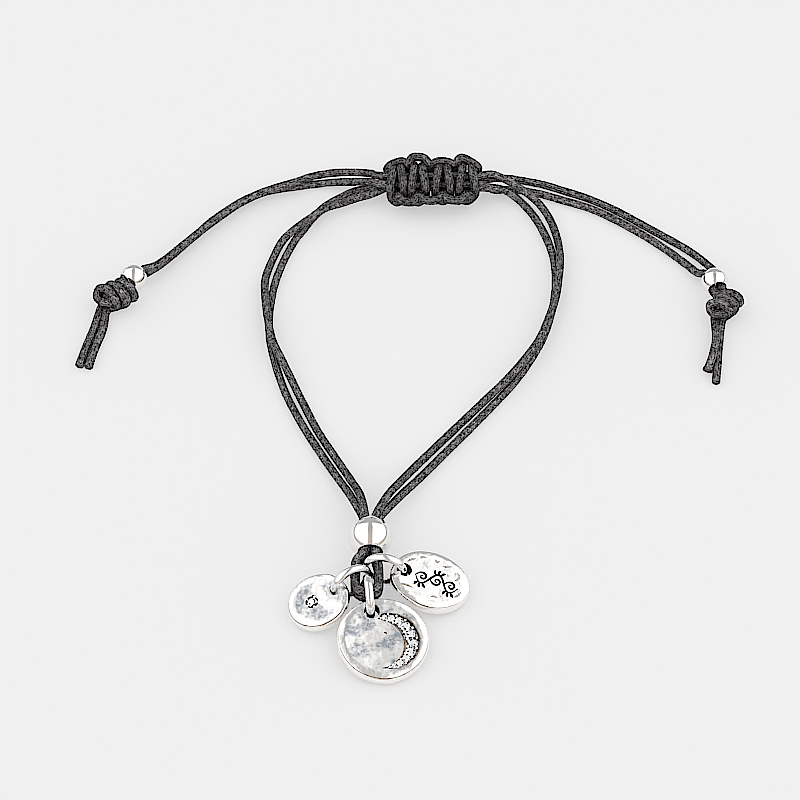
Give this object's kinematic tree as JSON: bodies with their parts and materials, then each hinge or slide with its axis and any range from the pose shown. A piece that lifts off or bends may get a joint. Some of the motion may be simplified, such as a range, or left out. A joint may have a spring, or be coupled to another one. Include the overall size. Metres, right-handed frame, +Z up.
{
  "type": "bracelet",
  "caption": "Pull-cord bracelet: black waxed cord closed by a sliding square knot, beads on its tails and one large bead holding silver charms on jump rings.",
  "frame": {"origin": "on the surface under the middle of the box of the loop, knot, large bead and charms", "axes": "+Z up from the surface, +Y from the charms to the sliding knot, +X to the right seen from the charms' side"},
  "size_m": [0.123, 0.1199, 0.0082],
  "materials": {
    "waxed_cord": "braided, waxed, satin",
    "bead_silver": "mirror polished silver plate",
    "ring_silver": "polished silver plate",
    "charm_silver": "cast, worn and slightly hammered, dark in the recesses",
    "crystal": "clear cut glass"
  },
  "bodies": {
    "root": {"loop_left_outer": "waxed_cord", "loop_left_inner": "waxed_cord", "loop_right_outer": "waxed_cord", "loop_right_inner": "waxed_cord", "eye_upper": "waxed_cord", "eye_lower": "waxed_cord", "tail_left_upper": "waxed_cord", "tail_left_lower": "waxed_cord", "tail_right_upper": "waxed_cord", "tail_right_lower": "waxed_cord", "stopper_left": "waxed_cord", "stopper_right": "waxed_cord", "sliding_knot": "waxed_cord", "cinch_bead": "bead_silver", "tail_bead_left": "bead_silver", "tail_bead_right": "bead_silver", "ring_left": "ring_silver", "ring_centre": "ring_silver", "ring_right": "ring_silver", "charm_left": "charm_silver", "charm_centre": "charm_silver", "charm_right": "charm_silver", "left_stone": "crystal", "moon_stone_1": "crystal", "moon_stone_2": "crystal", "moon_stone_3": "crystal", "moon_stone_4": "crystal", "moon_stone_5": "crystal", "moon_stone_6": "crystal", "moon_stone_7": "crystal", "moon_stone_8": "crystal", "moon_stone_9": "crystal", "moon_stone_10": "crystal"}
  },
  "joints": []
}
